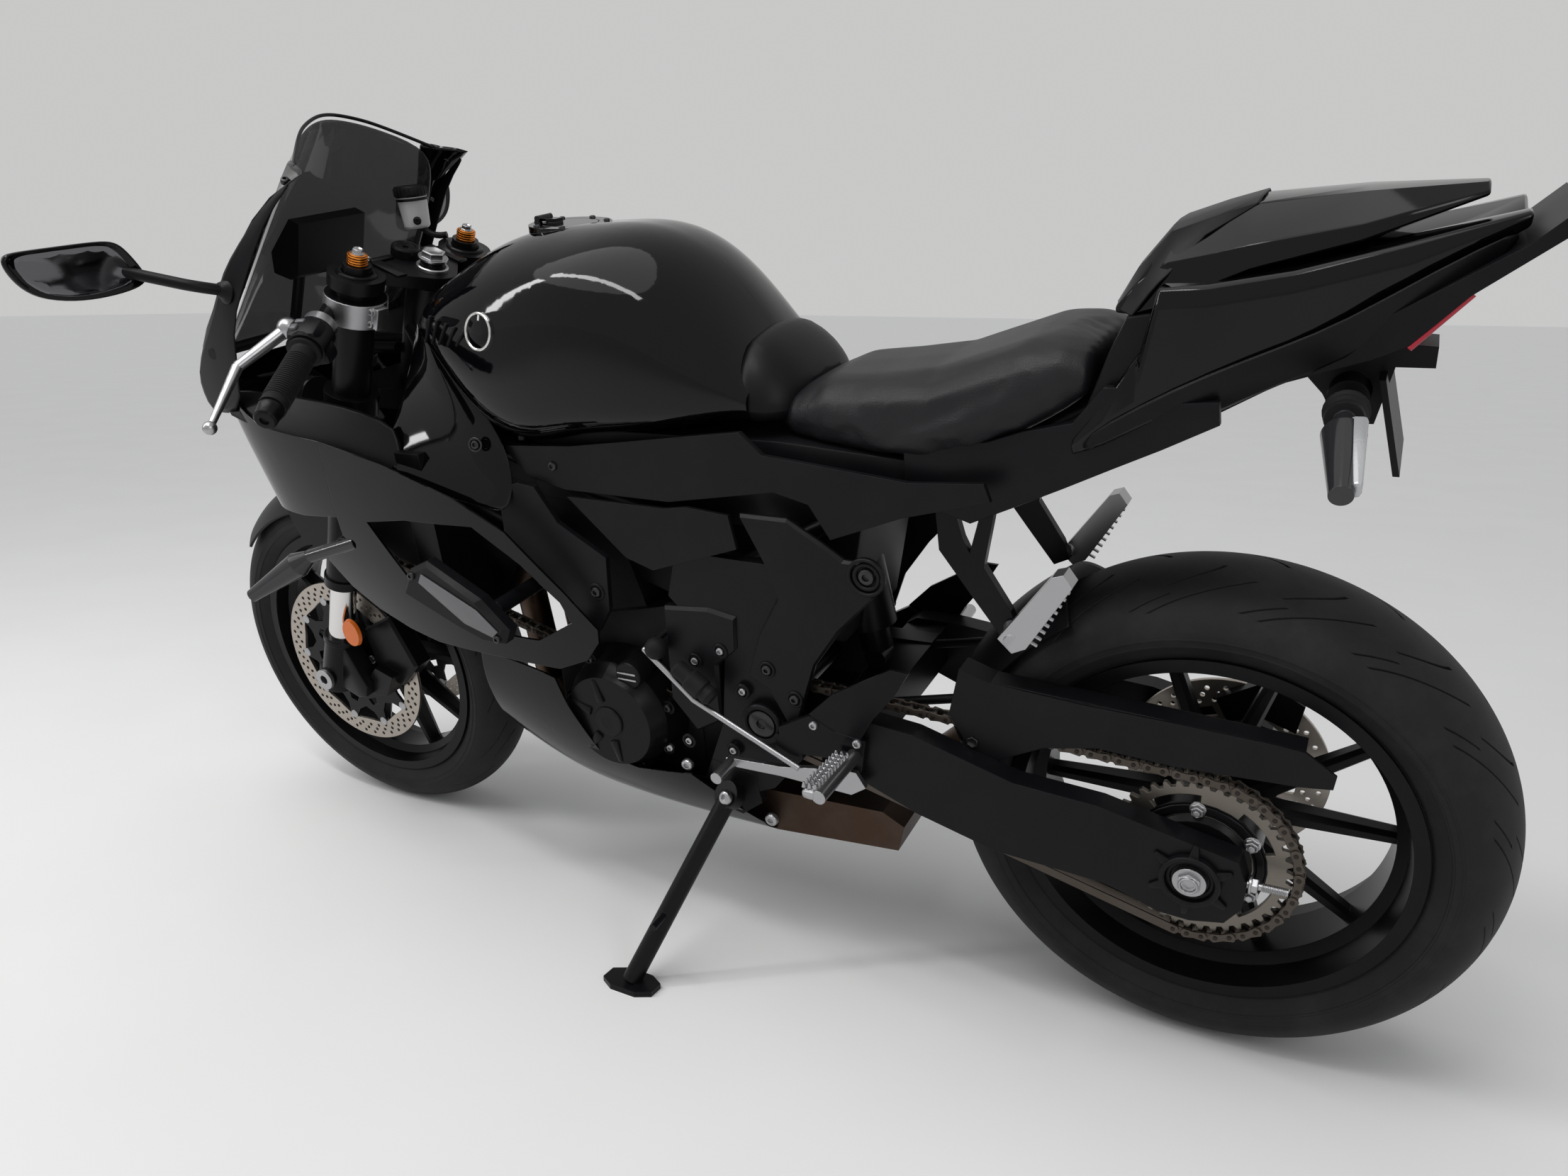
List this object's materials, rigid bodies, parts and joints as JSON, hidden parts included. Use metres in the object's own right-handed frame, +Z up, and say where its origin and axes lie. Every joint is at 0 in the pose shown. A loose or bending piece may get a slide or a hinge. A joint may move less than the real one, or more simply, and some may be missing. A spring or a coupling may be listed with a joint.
{
  "type": "sport motorcycle",
  "caption": "Full-fairing sport motorcycle parked on its side stand, with turning wheels, steering, folding stand and hinged filler lid.",
  "frame": {"origin": "middle of the bounding box's base, on the floor that the tyres and the side stand rest on", "axes": "+X forward along the machine, +Y to the rider's left, +Z up; the machine leans 11 degrees to +Y on its stand"},
  "size_m": [2.0099, 0.7752, 1.1425],
  "materials": {
    "cast_black": "black anodised and painted alloy",
    "tyre": "road tyre rubber",
    "steel": "ground steel",
    "chain_steel": "oiled chain steel",
    "chrome": "hard chrome tube over black castings",
    "rubber": "ribbed rubber",
    "alloy": "bright alloy",
    "fluid_cup": "translucent cup with a black cap",
    "matt_black": "satin black moulded plastic",
    "frame_black": "satin black powder coat",
    "engine_black": "dark grey painted castings",
    "heat_steel": "heat-coloured steel",
    "gloss_black": "deep gloss black paint on moulded panels",
    "seat_cover": "grained seat cover",
    "red_lens": "red lens",
    "clear_lens": "black housings with clear lenses",
    "smoke_screen": "dark tinted screen"
  },
  "bodies": {
    "chassis": {"chain": "chain_steel", "frame": "frame_black", "engine_block": "engine_black", "engine_covers": "cast_black", "sprocket_cover": "matt_black", "radiator": "cast_black", "exhaust": "heat_steel", "fuel_tank": "gloss_black", "seat": "seat_cover", "seat_cowl": "gloss_black", "tail_fairing": "gloss_black", "tail_underside": "matt_black", "tail_lamp": "red_lens", "plate_bracket": "matt_black", "nose_fairing": "gloss_black", "side_fairing_left": "gloss_black", "side_fairing_right": "gloss_black", "indicators": "clear_lens", "windscreen": "smoke_screen", "screen_braces": "matt_black", "instrument_panel": "matt_black", "headlamp": "clear_lens", "mirrors": "gloss_black", "frame_covers": "matt_black", "inner_side_panels": "matt_black", "tank_covers": "matt_black", "airbox_covers": "matt_black", "belly_pan": "gloss_black", "crash_sliders": "matt_black", "swingarm": "frame_black", "chain_guard": "matt_black", "shock": "frame_black", "hugger": "matt_black", "rear_caliper": "cast_black", "rear_axle": "alloy", "foot_brackets": "cast_black", "foot_pegs": "alloy", "foot_controls": "alloy"},
    "steering": {"fork_outer_tubes": "cast_black", "fork_lowers": "chrome", "triple_clamps": "cast_black", "handlebars": "cast_black", "grips": "rubber", "levers": "alloy", "brake_reservoir": "fluid_cup", "front_fender": "matt_black", "front_calipers": "cast_black", "front_axle": "alloy"},
    "front_wheel": {"front_rim": "cast_black", "front_tyre": "tyre", "front_discs": "steel"},
    "rear_wheel": {"rear_rim": "cast_black", "rear_tyre": "tyre", "rear_disc": "steel", "rear_sprocket": "steel"},
    "side_stand": {"side_stand_leg": "frame_black"},
    "fuel_cap": {"fuel_cap_lid": "gloss_black"}
  },
  "joints": [
    {"name": "steering_hinge", "type": "hinge", "parent": "chassis", "child": "steering", "pos_m": [0.48371, -0.05207, 0.74284], "axis": [-0.3739, 0.1769, 0.9104], "range_deg": [-24, 24]},
    {"name": "front_wheel_spin", "type": "hinge", "parent": "steering", "child": "front_wheel", "pos_m": [0.70499, -0.13891, 0.29592], "axis": [-0.0001, 0.9816, -0.1908], "continuous": true},
    {"name": "rear_wheel_spin", "type": "hinge", "parent": "chassis", "child": "rear_wheel", "pos_m": [-0.68999, -0.13605, 0.31172], "axis": [-0.0001, 0.9816, -0.1908], "continuous": true},
    {"name": "side_stand_fold", "type": "hinge", "parent": "chassis", "child": "side_stand", "pos_m": [-0.10004, 0.01668, 0.24796], "axis": [0.1736, 0.8657, 0.4695], "range_deg": [0, 105]},
    {"name": "fuel_cap_hinge", "type": "hinge", "parent": "chassis", "child": "fuel_cap", "pos_m": [0.1889, -0.00282, 0.99645], "axis": [-0.0001, 0.9816, -0.1908], "range_deg": [0, 95]}
  ]
}
